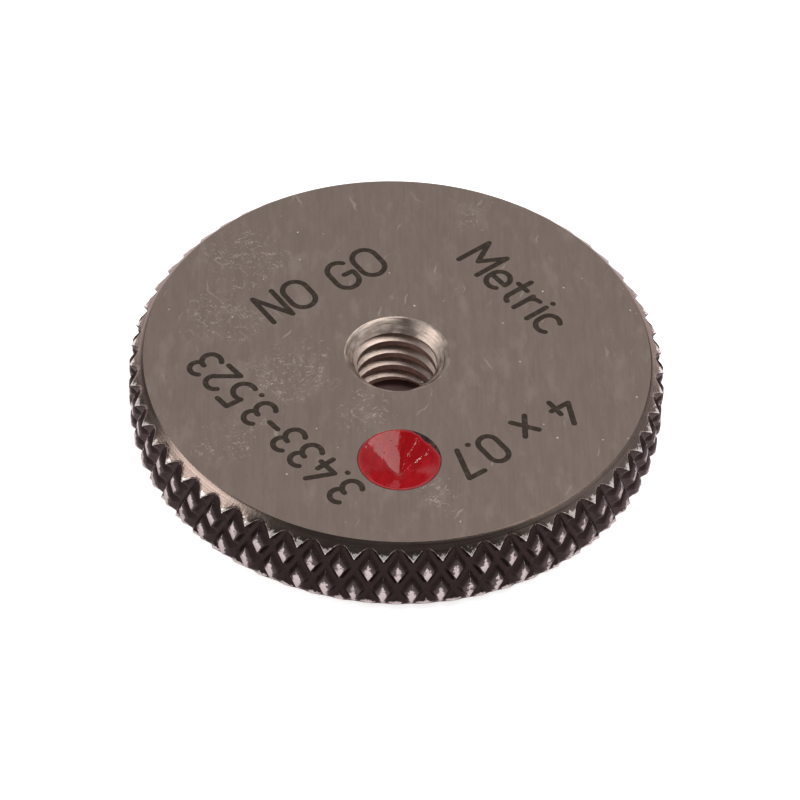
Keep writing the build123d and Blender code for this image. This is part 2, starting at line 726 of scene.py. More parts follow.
@dataclass
class GaugeRing:
    """The steel ring in one closed mesh, from the rim's knurl to the thread in its bore.

    Args:
        rim_radius: Radius at the rim.
        height: Distance between the faces.
        crest_radius: Radius at the thread's crests.
        chamfer: Size of the rim's chamfers.
        mouth_radius: Radius of the bore's countersinks at the faces.
        spot_offset: Distance from the axis to the drilled spot.
        spot_radius: Radius of the drilled spot at the face.
        spot_angle: Angle of the drill point, in degrees.
        edge: Size of the broken edges round the faces.
        worn_edge: Size of the rounding that wear gave the edges between upper chamfer and knurl.
        worn_foot: The same at the lower chamfer.
        cone_wear_and_sheen: Brightness on the chamfers' outer ends, wear with a painted highlight, on a scale
            on which 1 is bright.
        corner_wear_and_sheen: Brightness that the corner between chamfer and knurl has more.
        cone_fade: Brightness that the chamfers lose in a millimetre towards the faces.
        foot_wear_and_sheen: Brightness on the lower edge's high spots, right on the edge: wear with a painted
            reflection of the paper.
        flank_start: Depth below the rim at which the grooves' flanks start to lose that brightness.
        flank_fade: Brightness that they lose in a millimetre of depth.
        spot_segments: Number of steps round the drilled spot.
    """

    rim_radius: float
    height: float
    crest_radius: float
    chamfer: float = 0.6
    mouth_radius: float = 2.13
    spot_offset: float = 5.95
    spot_radius: float = 1.675
    spot_angle: float = 118.0
    edge: float = 0.03
    worn_edge: float = 0.08
    worn_foot: float = 0.20
    cone_wear_and_sheen: float = 1.20
    corner_wear_and_sheen: float = 0.10
    cone_fade: float = 2.7
    foot_wear_and_sheen: float = 1.25
    flank_start: float = 0.15
    flank_fade: float = 2.2
    spot_segments: int = 120

    def __post_init__(self) -> None:
        """Makes the knurl and the thread, and the openings that the broken edges widen."""
        self.knurl = Knurl(self.rim_radius)
        self.thread = Thread(self.crest_radius)
        self.spot_slope = math.tan(math.radians(self.spot_angle / 2))
        self.spot_depth = self.spot_radius / self.spot_slope
        self.mouth_opening = self.mouth_radius + self.edge * 1.5
        self.spot_opening = self.spot_radius + self.edge / 2
        self.spot_home = Vector((0, -self.spot_offset, self.height))

    def from_face(self, place: Vector) -> float:
        """Distance of a point from the nearer of the two faces."""
        return min(place.z, self.height - place.z)

    def chamfer_radius(self, place: Vector) -> float:
        """Radius of the chamfers' cones at a point's height, outside the rim between them."""
        return self.rim_radius - self.chamfer + self.from_face(place)

    def mouth_cone(self, place: Vector) -> float:
        """Radius of the countersinks' cones at a point's height."""
        return self.mouth_radius - self.from_face(place)

    def at_face(self, place: Vector) -> bool:
        """Tells whether a point lies in one of the faces."""
        return self.from_face(place) < WELD

    def rounding(self, place: Vector) -> float:
        """Size of the wear's rounding between knurl and chamfer, at the top or the foot."""
        return self.worn_edge if place.z > self.height / 2 else self.worn_foot

    def rim_surface(self, place: Vector) -> float:
        """Radius of the finished rim: the knurl, or the chamfer where that is deeper."""
        cone = self.chamfer_radius(place) - (self.edge / 2 if self.at_face(place) else 0)
        return soft_min(self.knurl.surface(place), cone, self.rounding(place))

    def bore_surface(self, place: Vector) -> float:
        """Radius of the finished bore: the thread, or the countersink where that is wider."""
        cone = self.mouth_opening if self.at_face(place) else self.mouth_cone(place)
        return max(self.thread.surface(place), cone)

    def split_heights(
        self,
        band: RolledBand,
        bm: bmesh.types.BMesh,
        surface: Callable[[Vector], float],
        cone: Callable[[Vector], float],
    ) -> None:
        """Scores a flat strip where a cone at each face meets the surface, and at broken edges.

        Args:
            band: The band that the strip becomes.
            bm: The flat strip.
            surface: Radius of the strip's own surface.
            cone: Radius of the cones.
        """
        bisect(bm, Vector((0, 0, self.height / 2)), UP)
        band.score_where_equal(bm, surface, cone)
        for height in (self.edge, self.height - self.edge):
            bisect(bm, Vector((0, 0, height)), UP)

    def wear_and_sheen_at_foot(self, place: Vector) -> float:
        """Works out the bright wear and painted reflection of the paper on the lower edge's high spots, on
        which the gauge slides.

        Args:
            place: A point of the rim's flat strip.

        Returns:
            The wear and painted reflection, where 1 is bright.
        """
        if place.z > self.height / 2:
            return 0.0
        surface = self.knurl.surface(place)
        gap = self.chamfer_radius(place) - surface
        down_the_flank = max(0.0, self.rim_radius - surface - self.flank_start)
        # Painted reflection of the paper on the lower edge, together with wear.
        wear = self.foot_wear_and_sheen - gap / self.worn_foot / 2 - self.flank_fade * down_the_flank
        return max(0.0, wear)

    def wear_on_rim(self, vert: bmesh.types.BMVert) -> float:
        """Works out the bright wear and painted highlight at a corner of the rim's flat strip.

        Args:
            vert: The corner, whose faces know whether they are knurl or chamfer.

        Returns:
            The wear and painted highlight, where 1 is bright.
        """
        regions = {face.material_index for face in vert.link_faces}
        if Region.CHAMFER not in regions:
            return max(self.knurl.wear(vert.co), self.wear_and_sheen_at_foot(vert.co))
        on_corner = self.corner_wear_and_sheen if len(regions) > 1 else 0.0
        up_the_cone = self.rim_radius - self.chamfer_radius(vert.co)
        # Painted highlight on the chamfers' outer ends, together with wear.
        return max(0.0, self.cone_wear_and_sheen + on_corner - self.cone_fade * up_the_cone)

    def rim(self) -> bmesh.types.BMesh:
        """Makes the knurled and chamfered rim.

        Returns:
            The rolled band, with its wear and painted highlights in a vertex layer.
        """
        band = RolledBand(self.rim_radius, self.knurl.turn)
        bm = self.knurl.strip(self.height)
        self.split_heights(band, bm, self.knurl.surface, self.chamfer_radius)
        across_the_rounding = (-1.0, -0.4, 0.4, 1.0)
        for share in across_the_rounding:
            band.score_where_equal(
                bm,
                self.knurl.surface,
                lambda place: self.chamfer_radius(place) + share * self.rounding(place),
            )
        for face in bm.faces:
            middle = face.calc_center_median()
            on_cone = self.chamfer_radius(middle) < self.knurl.surface(middle)
            face.material_index = Region.CHAMFER if on_cone else Region.KNURL
        wear = bm.verts.layers.float.new(WEAR_AND_SHEEN)
        for vert in bm.verts:
            vert[wear] = self.wear_on_rim(vert)
        band.roll(bm, self.rim_surface)
        return bm

    def bore(self) -> bmesh.types.BMesh:
        """Makes the threaded bore with its countersinks.

        Returns:
            The rolled band.
        """
        band = RolledBand(self.crest_radius)
        bm = self.thread.strip(self.height)
        self.split_heights(band, bm, self.thread.surface, self.mouth_cone)
        for face in bm.faces:
            middle = face.calc_center_median()
            on_cone = self.mouth_cone(middle) > self.thread.surface(middle)
            face.material_index = Region.MOUTH if on_cone else Region.THREAD
        band.roll(bm, self.bore_surface)
        return bm

    def spot(self) -> bmesh.types.BMesh:
        """Makes the cone that the drill point leaves in the top face.

        Returns:
            The cone, open at the face.
        """
        bm = bmesh.new()
        section = (
            (0.0, -self.spot_depth + self.edge),
            (self.edge * self.spot_slope * 2, -self.spot_depth + self.edge * 2),
            (self.spot_radius - self.edge * self.spot_slope, -self.edge),
            (self.spot_opening, 0.0),
        )
        corners = [self.spot_home + Vector((x, 0, z)) for x, z in section]
        turn_round(bm, corners, self.spot_home, self.spot_segments, weld=WELD)
        for face in bm.faces:
            face.material_index = Region.SPOT
        return bm

    def is_cut_away(self, place: Vector) -> bool:
        """Tells whether a point of the top or bottom plane lies in the bore or the spot.

        Args:
            place: The point.

        Returns:
            True where no face is laid.
        """
        flat = place.to_2d()
        in_bore = flat.length < self.mouth_opening
        from_spot = (flat - self.spot_home.to_2d()).length
        return in_bore or (place.z > self.height / 2 and from_spot < self.spot_opening)

    def lay_face(self, bm: bmesh.types.BMesh, height: float, marks: bmesh.types.BMesh | None) -> None:
        """Closes the ring with a ground face, and sets the marks flush in it.

        Args:
            bm: The ring's mesh, open at that face.
            height: Height of the face.
            marks: Flat ribbons of the marking, or None for a plain face.
        """
        rims = [
            edge
            for edge in bm.edges
            if edge.is_boundary and all(abs(vert.co.z - height) < WELD for vert in edge.verts)
        ]
        loops = list({vert for edge in rims for vert in edge.verts})
        order = {vert: number for number, vert in enumerate(loops)}
        places = [vert.co.to_2d() for vert in loops]
        borders = [tuple(order[vert] for vert in edge.verts) for edge in rims]
        ribbons = []
        if marks:
            marks.verts.index_update()
            start = len(places)
            places += [vert.co.to_2d() for vert in marks.verts]
            ribbons = [[start + vert.index for vert in face.verts] for face in marks.faces]
        inside_borders = 1
        laid = delaunay_2d_cdt(places, borders, ribbons, inside_borders, WELD / 10)
        laid_places, laid_faces, under_ribbons = laid[0], laid[2], laid[5]
        points = [bm.verts.new((place.x, place.y, height)) for place in laid_places]
        for corners, ribbon in zip(laid_faces, under_ribbons):
            corner_points = [points[corner] for corner in corners]
            middle = sum((point.co for point in corner_points), Vector()) / len(corner_points)
            if not self.is_cut_away(middle):
                face = bm.faces.new(corner_points)
                face.material_index = Region.MARK if ribbon else Region.FACE
        bmesh.ops.delete(bm, geom=[point for point in points if not point.link_faces], context="VERTS")
        bmesh.ops.remove_doubles(bm, verts=bm.verts[:], dist=WELD)

    def marking(self) -> bmesh.types.BMesh:
        """Writes the plain marks of the top face.

        Returns:
            The marks, as flat ribbons that face up.
        """
        bm = bmesh.new()
        lettering = Lettering()
        lettering.write(bm, "NO GO", 1.6, (-3.1, 4.05), 124)
        lettering.write(bm, "Metric", 1.65, (5.0, 3.95), 38)
        lettering.write(bm, "4 x 0.7", 1.5, (4.7, -4.65), -54.5)
        lettering.write(bm, "3.433-3.523", 1.5, (-5.05, -4.2), 219)
        bm.normal_update()
        bmesh.ops.reverse_faces(bm, faces=[face for face in bm.faces if face.normal.z < 0])
        return bm

    def build(self) -> bmesh.types.BMesh:
        """Joins rim, bore, spot and faces into one closed mesh.

        Returns:
            The ring's mesh, in millimetres.
        """
        bm = self.rim()
        absorb(bm, self.bore())
        absorb(bm, self.spot())
        marks = self.marking()
        self.lay_face(bm, self.height, marks)
        marks.free()
        self.lay_face(bm, 0.0, None)
        drop_flaps(bm)
        bmesh.ops.recalc_face_normals(bm, faces=bm.faces[:])
        shade(bm, sharp_angle=38)
        return bm


@dataclass
class LacquerDab:
    """Red lacquer brushed into the drilled spot: a thin film with a little pool at the point.

    Args:
        ring: The ring that carries it.
        film: Thickness of the film.
        pool_radius: Radius over which the drill point is filled round.
        margin: Depth below the face at which the lacquer ends.
        bare_width: Width of the sliver of wall that the brush missed.
        bare_span: Angle that the sliver takes up, in degrees.
        bare_turn: Azimuth of the sliver's middle, in degrees.
        wobble: Most that the lacquer's edge strays from its circle.
        ragged: Most that its edge along the bare sliver strays.
        ripple: Height of the film's soft ripples.
        streak: Height of the brush streaks.
        roll_off: Share of the radius over which the film rolls off to its edge.
        top_gap: Least depth of its surface below the face.
        rings: Number of steps from the middle to the edge.
        segments: Number of steps round it.
    """

    ring: GaugeRing
    film: float = 0.045
    pool_radius: float = 0.22
    margin: float = 0.008
    bare_width: float = 0.12
    bare_span: float = 64.0
    bare_turn: float = 39.0
    wobble: float = 0.02
    ragged: float = 0.06
    ripple: float = 0.006
    streak: float = 0.003
    roll_off: float = 0.12
    top_gap: float = 0.004
    rings: int = 26
    segments: int = 144

    def __post_init__(self) -> None:
        """Works out the wall's slope and the circle that the missed sliver follows."""
        self.fall = 1 / self.ring.spot_slope
        self.edge_radius = self.ring.spot_radius - self.margin / self.fall
        inner = self.edge_radius - self.bare_width
        ends = self.edge_radius * math.cos(math.radians(self.bare_span / 2))
        shift = (self.edge_radius**2 - inner**2) / (2 * (inner - ends))
        self.brush_centre = Vector((-shift, 0)) @ Matrix.Rotation(-math.radians(self.bare_turn), 2)
        self.brush_radius = inner + shift

    def reach(self, angle: float) -> float:
        """Works out the radius of the lacquer's edge.

        Args:
            angle: Azimuth in the spot, in radians.

        Returns:
            The radius there.
        """
        ray = Vector((math.cos(angle), math.sin(angle)))
        along = self.brush_centre.dot(ray)
        brushed = along + math.sqrt(self.brush_radius**2 - self.brush_centre.length_squared + along**2)
        wobble = self.wobble * noise.noise(Vector((ray.x * 3, ray.y * 3, 4.0)))
        ragged = self.ragged * noise.noise(Vector((ray.x * 11, ray.y * 11, 9.0)))
        return min(self.edge_radius, brushed + ragged) + min(wobble, 0.0)

    def wall(self, radius: float) -> float:
        """Height of the drilled wall at a radius, below the face."""
        return (radius - self.ring.spot_radius) * self.fall

    def surface(self, flat: Vector, share: float) -> float:
        """Height of the lacquer's surface.

        Args:
            flat: Place in the spot.
            share: Distance from the middle as a share of the edge's.

        Returns:
            Height below the face.
        """
        radius = flat.length
        lift = self.film / math.sin(math.radians(self.ring.spot_angle / 2))
        past_roll = max(0.0, (share - (1 - self.roll_off)) / self.roll_off)
        rolled = math.sqrt(max(0.0, 1 - past_roll**2))
        rounded = self.fall * self.pool_radius / 2
        pool = rounded * (1 - radius / self.pool_radius) ** 2 if radius < self.pool_radius else 0.0
        ripple = self.ripple * noise.noise(Vector((flat.x * 2.2, flat.y * 2.2, 1.0)))
        streak = self.streak * noise.noise(Vector((flat.x * 7, flat.y * 2.0, 7.0)))
        return min(self.wall(radius) + (lift + ripple + streak) * rolled + pool, -self.top_gap)

    def build(self) -> bmesh.types.BMesh:
        """Makes the lacquer as a closed skin on the spot's wall.

        Returns:
            The mesh, in millimetres.
        """
        bm = bmesh.new()
        # A disc of radius 1, with its steps closer together towards the edge, where it rolls off
        crowding = 1.6
        steps = [1 - (1 - number / self.rings) ** crowding for number in range(self.rings + 1)]
        turn_round(bm, [Vector((step, 0, 0)) for step in steps], Vector(), self.segments, weld=1e-6)
        under = bmesh.ops.duplicate(bm, geom=everything(bm))["geom"]
        below = {item for item in under if isinstance(item, bmesh.types.BMVert)}
        for vert in bm.verts:
            share = vert.co.length
            flat = vert.co.to_2d() * self.reach(math.atan2(vert.co.y, vert.co.x))
            height = self.wall(flat.length) if vert in below else self.surface(flat, share)
            vert.co = self.ring.spot_home + Vector((flat.x, flat.y, height))
        bmesh.ops.remove_doubles(bm, verts=bm.verts[:], dist=WELD)
        bmesh.ops.recalc_face_normals(bm, faces=bm.faces[:])
        for face in bm.faces:
            face.smooth = True
        return bm


class Nodes:
    """Node tree that is built up node by node."""

    def __init__(self, tree: bpy.types.NodeTree) -> None:
        """Takes over the tree of a material or of the room."""
        self.tree = tree

    def put(self, socket: bpy.types.NodeSocket, value: object) -> None:
        """Links a socket to an output, or sets its value.

        Args:
            socket: Input of a node.
            value: Output to link, or the colour, number or vector to set.
        """
        if isinstance(value, bpy.types.NodeSocket):
            self.tree.links.new(value, socket)
        elif isinstance(value, Colour):
            socket.default_value = (*value.value, 1)
        else:
            socket.default_value = value

    def add(self, kind: str, inputs: dict[str | int, object], **options: str) -> bpy.types.Node:
        """Adds a node.

        Args:
            kind: Its type, without the start that all types share.
            inputs: What is put in its inputs, by their names or numbers.
            options: Its own options.

        Returns:
            The node.
        """
        node = self.tree.nodes.new("ShaderNode" + kind)
        for name, option in options.items():
            setattr(node, name, option)
        for key, value in inputs.items():
            self.put(node.inputs[key], value)
        return node

    def math(self, kind: str, *values: object) -> bpy.types.NodeSocket:
        """Adds a math node and returns its value."""
        return self.add("Math", dict(enumerate(values)), operation=kind).outputs[0]

    def highest(self, *values: object) -> bpy.types.NodeSocket:
        """Highest of several values."""
        return reduce(lambda first, second: self.math("MAXIMUM", first, second), values)

    def band(
        self,
        value: bpy.types.NodeSocket,
        low: float,
        high: float,
        start: float = 0.0,
        end: float = 1.0,
    ) -> bpy.types.NodeSocket:
        """Maps a stretch of values smoothly to another, and holds it beyond the ends.

        Args:
            value: The value to map.
            low: Value that gives the start.
            high: Value that gives the end.
            start: Start of the new stretch.
            end: End of the new stretch.

        Returns:
            The mapped value.
        """
        limits = {"From Min": low, "From Max": high, "To Min": start, "To Max": end}
        node = self.add("MapRange", {"Value": value, **limits}, interpolation_type="SMOOTHSTEP")
        return node.outputs["Result"]


class Recipe(Nodes):
    """Node tree of one finish."""

    def __init__(self, name: str) -> None:
        """Starts a material with its shader and its object coordinates in millimetres.

        Args:
            name: Name of the material.
        """
        self.material = bpy.data.materials.new(name)
        self.material.use_nodes = True
        super().__init__(self.material.node_tree)
        self.shader = self.tree.nodes["Principled BSDF"]
        place = self.add("TexCoord", {}).outputs["Object"]
        self.place = self.stretch(place, (1 / MM, 1 / MM, 1 / MM))

    def stretch(
        self,
        place: bpy.types.NodeSocket,
        scale: tuple[float, float, float],
        turn: float = 0.0,
    ) -> bpy.types.NodeSocket:
        """Scales a pattern's coordinates.

        Args:
            place: The coordinates.
            scale: Scale along each axis.
            turn: Turn about the ring's axis that comes first, in degrees.

        Returns:
            The new coordinates.
        """
        if turn:
            rotation = (0, 0, math.radians(turn))
            place = self.add("Mapping", {"Vector": place, "Rotation": rotation}).outputs["Vector"]
        return self.add("Mapping", {"Vector": place, "Scale": scale}).outputs["Vector"]

    def noise(
        self,
        place: bpy.types.NodeSocket,
        scale: float,
        detail: float = 3.0,
        rough: float = 0.55,
    ) -> bpy.types.NodeSocket:
        """Adds a noise texture.

        Args:
            place: Its coordinates.
            scale: Its scale.
            detail: Number of finer layers in it.
            rough: Strength of each layer in the next coarser one's.

        Returns:
            Its value.
        """
        inputs = {"Vector": place, "Scale": scale, "Detail": detail, "Roughness": rough}
        return self.add("TexNoise", inputs).outputs["Fac"]

    def bent(self, scale: float, reach: float) -> bpy.types.NodeSocket:
        """Shifts the coordinates by a noise, so that what is drawn with them bends.

        Args:
            scale: Scale of the noise.
            reach: Most that it shifts them, in millimetres.

        Returns:
            The bent coordinates.
        """
        shift = self.add("TexNoise", {"Vector": self.place, "Scale": scale}).outputs["Color"]
        inputs = {0: shift, 1: (reach, reach, 0.0), 2: self.place}
        return self.add("VectorMath", inputs, operation="MULTIPLY_ADD").outputs["Vector"]

    def cells(self, place: bpy.types.NodeSocket, scale: float) -> bpy.types.Node:
        """Adds a Voronoi texture, with a distance and a colour for each cell."""
        return self.add("TexVoronoi", {"Vector": place, "Scale": scale})

    def draw_lots(self, cells: bpy.types.Node, salt: float) -> bpy.types.NodeSocket:
        """Gives each cell a chance number from 0 to 1, which another salt changes."""
        return self.math("FRACT", self.math("MULTIPLY", cells.outputs["Color"], salt))

    def mix(self, share: object, first: object, second: object) -> bpy.types.NodeSocket:
        """Mixes two colours.

        Args:
            share: Share of the second colour.
            first: The first colour.
            second: The second colour.

        Returns:
            The mixed colour.
        """
        node = self.add("Mix", {0: share}, data_type="RGBA")
        colours = [socket for socket in node.inputs if socket.type == "RGBA"]
        self.put(colours[0], first)
        self.put(colours[1], second)
        return next(socket for socket in node.outputs if socket.type == "RGBA")

    def radius(self) -> bpy.types.NodeSocket:
        """Distance of a point from the ring's axis, in millimetres."""
        flat = self.stretch(self.place, (1, 1, 0))
        return self.add("VectorMath", {0: flat}, operation="LENGTH").outputs["Value"]

    def turned_marks(self, per_mm: float, per_radian: float = 2.5) -> bpy.types.NodeSocket:
        """Draws fine lines that run round the axis, as a turning tool leaves them.

        Args:
            per_mm: Number of lines in a millimetre.
            per_radian: Changes along a line in a radian.

        Returns:
            Height of the lines.
        """
        split = self.add("SeparateXYZ", {0: self.place}).outputs
        across = self.math("MULTIPLY", self.radius(), per_mm)
        up = self.math("MULTIPLY", split["Z"], per_mm)
        around = self.math("MULTIPLY", self.math("ARCTAN2", split["Y"], split["X"]), per_radian)
        place = self.add("CombineXYZ", {0: across, 1: up, 2: around}).outputs[0]
        return self.noise(place, 1.0)

    def worn(self, patches: bpy.types.NodeSocket, grit: bpy.types.NodeSocket) -> bpy.types.NodeSocket:
        """Makes the ragged mask of the rim's bright wear and painted highlights, from its vertex layer and
        two noises.

        Args:
            patches: The coarser noise.
            grit: The finer noise.

        Returns:
            The mask.
        """
        layer = self.add("Attribute", {}, attribute_name=WEAR_AND_SHEEN).outputs["Fac"]
        wear = self.math("ADD", layer, self.band(patches, 0.3, 0.7, -0.20, 0.20))
        wear = self.math("ADD", wear, self.band(grit, 0.3, 0.7, -0.10, 0.10))
        return self.band(wear, 0.54, 0.80)

    def bumps(self, *layers: tuple[bpy.types.NodeSocket, float]) -> bpy.types.NodeSocket:
        """Lays bumps over each other.

        Args:
            layers: A pattern and its full height in millimetres for each, the undermost first.

        Returns:
            The bent normal.
        """
        under = {}
        for pattern, height in layers:
            inputs = {"Strength": 1.0, "Distance": height * MM, "Height": pattern, **under}
            under = {"Normal": self.add("Bump", inputs).outputs["Normal"]}
        return under["Normal"]

    def finish(self, **sockets: object) -> bpy.types.Material:
        """Sets the shader's sockets, named with underscores for spaces, and returns the material."""
        for name, value in sockets.items():
            self.put(self.shader.inputs[name.replace("_", " ")], value)
        return self.material


@dataclass(frozen=True)
class GroundSteel:
    """Ground face: fine straight grain along Y, with specks, scratches and a few veined patches.

    Args:
        grain_per_mm: Number of grain lines in a millimetre.
        roughness: Roughness of the ground surface.
        dust: Kinds of specks, each with its number in a millimetre and its size.
        scores: Kinds of longer scratches, each with the way that they lie, in degrees, and
            their number in a millimetre.
        hairs: Kinds of scratches in the soiled patches, each with the same two and the share
            that is left out.
        soiled: Places of the patches with veins, each with its X, its Y and its radius.
    """

    grain_per_mm: float = 11.0
    roughness: float = 0.36
    dust: tuple[tuple[float, float], ...] = ((0.42, 0.06), (1.6, 0.034))
    scores: tuple[tuple[float, float], ...] = ((24, 0.55), (-38, 0.4), (5, 0.7))
    hairs: tuple[tuple[float, float, float], ...] = ((100, 2.2, 0.3), (55, 1.8, 0.4), (-25, 1.8, 0.4))
    soiled: tuple[tuple[float, float, float], ...] = (
        (-6.3, 5.4, 1.7),
        (-7.2, 2.0, 1.6),
        (-4.3, -1.1, 1.7),
        (-1.4, -3.4, 1.1),
        (3.2, 8.3, 0.8),
        (1.6, -7.8, 0.8),
        (-6.6, -4.9, 1.2),
    )

    def material(self) -> bpy.types.Material:
        """Makes the finish."""
        r = Recipe("ground_steel")
        grain = r.noise(r.stretch(r.place, (self.grain_per_mm, 0.22, 1)), 1.0, 3.0, 0.6)
        fine = r.noise(r.stretch(r.place, (self.grain_per_mm * 4, 1.4, 1)), 1.0, 2.0)
        streaks = r.noise(r.stretch(r.place, (3.4, 0.75, 1)), 1.0, 3.0, 0.65)
        smears = r.noise(r.stretch(r.place, (1.3, 0.55, 1)), 1.0, 3.0, 0.65)
        base = r.mix(r.band(grain, 0.3, 0.7, 0.0, 0.10), Colour.GROUND, Colour.GROUND_LIGHT)
        base = r.mix(r.band(streaks, 0.35, 0.65, 0.0, 0.15), base, Colour.TURNED_DARK)
        base = r.mix(r.band(smears, 0.50, 0.74, 0.0, 0.30), base, Colour.GROUND_LIGHT)
        bent = r.bent(0.9, 0.9)
        ragged = r.bent(9.0, 0.10)
        specks = [self.specks(r, ragged, per_mm, size) for per_mm, size in self.dust]
        scores = [self.scratches(r, bent, turn, per_mm, 0.84, 0.25) for turn, per_mm in self.scores]
        hairs = [self.scratches(r, bent, *kind, 0.45) for kind in self.hairs]
        soil = r.math("MULTIPLY", r.highest(*hairs, self.veins(r)), self.patches(r))
        marks = r.highest(*specks, *scores, soil)
        base = r.mix(r.math("MULTIPLY", marks, 0.7), base, Colour.NICK)
        rough = r.band(grain, 0.2, 0.8, self.roughness - 0.04, self.roughness + 0.04)
        normal = r.bumps((grain, 0.0008), (fine, 0.0003), (marks, 0.004))
        return r.finish(Base_Color=base, Metallic=1.0, Roughness=rough, Normal=normal)

    def specks(
        self,
        r: Recipe,
        place: bpy.types.NodeSocket,
        per_mm: float,
        size: float,
    ) -> bpy.types.NodeSocket:
        """Makes sparse bright specks, where a grain of dust or a nick catches the light.

        Args:
            r: Recipe that they belong to.
            place: Coordinates, which may be bent.
            per_mm: Number of places for them in a millimetre, most of which stay empty.
            size: Their radius.

        Returns:
            Their strength.
        """
        cells = r.cells(place, per_mm)
        near = r.band(cells.outputs["Distance"], size * per_mm * 1.6, size * per_mm * 0.5)
        chosen = r.band(r.draw_lots(cells, 7.0), 0.48, 0.78)
        return r.math("MULTIPLY", near, chosen)

    def veins(self, r: Recipe) -> bpy.types.NodeSocket:
        """Makes fine wandering veins, as dried fluid leaves them.

        Args:
            r: Recipe that they belong to.

        Returns:
            Their strength.
        """
        rise = r.noise(r.place, 1.9, 4.0, 0.62)
        ridge = r.math("ABSOLUTE", r.math("SUBTRACT", rise, 0.5))
        broken = r.band(r.noise(r.place, 4.5, 2.0), 0.45, 0.60, 0.0, 0.5)
        return r.math("MULTIPLY", r.band(ridge, 0.016, 0.002), broken)

    def patches(self, r: Recipe) -> bpy.types.NodeSocket:
        """Makes ragged patches at the places where the face is soiled.

        Args:
            r: Recipe that they belong to.

        Returns:
            Their mask.
        """
        reach = 3.2
        # The bending noise is about a half on average, so it also moves what it bends.
        ragged = r.stretch(r.bent(0.8, reach), (1, 1, 0))
        masks = []
        for x, y, size in self.soiled:
            home = (x + reach / 2, y + reach / 2, 0)
            distance = r.add("VectorMath", {0: ragged, 1: home}, operation="DISTANCE").outputs["Value"]
            masks.append(r.band(distance, size * 1.3, size * 0.6))
        return r.highest(*masks)

    def scratches(
        self,
        r: Recipe,
        place: bpy.types.NodeSocket,
        turn: float,
        per_mm: float,
        rarity: float,
        strength: float,
    ) -> bpy.types.NodeSocket:
        """Makes short scratches that lie about one way.

        Args:
            r: Recipe that they belong to.
            place: Coordinates, which may be bent.
            turn: Way that they lie, in degrees.
            per_mm: Number of them in a millimetre.
            rarity: Share of them that is left out.
            strength: Value of the deepest.

        Returns:
            Their strength.
        """
        cells = r.cells(r.stretch(place, (per_mm * 6, per_mm * 0.8, 1), turn), 1.0)
        near = r.band(cells.outputs["Distance"], 0.20, 0.05)
        chosen = r.band(r.draw_lots(cells, 5.0), rarity, rarity + 0.1, 0.0, strength)
        return r.math("MULTIPLY", near, chosen)


@dataclass(frozen=True)
class TurnedSteel:
    """Turned surface with fine lines round the axis.

    Args:
        name: Name of the material.
        light: Colour of the ridges of the tool marks.
        dark: Colour between them.
        roughness: Roughness of the surface.
        lines_per_mm: Number of tool marks in a millimetre.
        mark_depth: Depth of the tool marks.
        evenness: Share of the ridges' colour that is left in the dull patches.
    """

    name: str
    light: Colour
    dark: Colour
    roughness: float
    lines_per_mm: float = 9.0
    mark_depth: float = 0.004
    evenness: float = 0.45

    def material(self) -> bpy.types.Material:
        """Makes the finish."""
        r = Recipe(self.name)
        lines = r.turned_marks(self.lines_per_mm)
        cloud = r.noise(r.place, 1.6, 4.0)
        dull = r.band(cloud, 0.34, 0.58, self.evenness, 1.0)
        share = r.math("MULTIPLY", r.band(lines, 0.30, 0.62), dull)
        base = r.mix(share, self.dark, self.light)
        rough = r.band(cloud, 0.3, 0.7, self.roughness - 0.05, self.roughness + 0.08)
        normal = r.bumps((lines, self.mark_depth), (r.noise(r.place, 9.0), self.mark_depth))
        return r.finish(Base_Color=base, Metallic=1.0, Roughness=rough, Normal=normal)


@dataclass(frozen=True)
class KnurledSteel:
    """Rolled knurl: nearly black in the grooves from oxide and painted shade, dull on the lands, bright with
    wear and painted highlights.

    Args:
        rim_radius: Radius at the top of the lands.
        skin_depth: Depth below the rim to which the dull skin of the lands reaches.
        groove_depth: Depth from which the steel is dark, oxide together with painted shade of the grooves.
    """

    rim_radius: float
    skin_depth: float = 0.05
    groove_depth: float = 0.16

    def material(self) -> bpy.types.Material:
        """Makes the finish."""
        r = Recipe("knurled_steel")
        patches = r.noise(r.place, 3.2, 4.0, 0.65)
        grit = r.noise(r.place, 12.0, 3.0, 0.6)
        # Painted shade: darker with depth below the rim, on top of the grooves' dark oxide.
        depth = r.math("SUBTRACT", self.rim_radius, r.radius())
        shallow = r.band(depth, self.groove_depth, self.skin_depth)
        base = r.mix(shallow, Colour.GROOVE_OXIDE_AND_SHADE, Colour.SKIN)
        worn = r.worn(patches, grit)
        # Bright lands: real wear with painted highlights at the lower tips and on the side facing the left
        # strip light.
        base = r.mix(worn, base, Colour.LAND_WEAR_AND_SHEEN)
        return r.finish(
            Base_Color=base,
            Metallic=1.0,
            Specular_Tint=Colour.EDGE_TINT,
            Roughness=r.band(worn, 0.0, 1.0, 0.42, 0.26),
            Normal=r.bumps((grit, 0.010), (patches, 0.02)),
        )


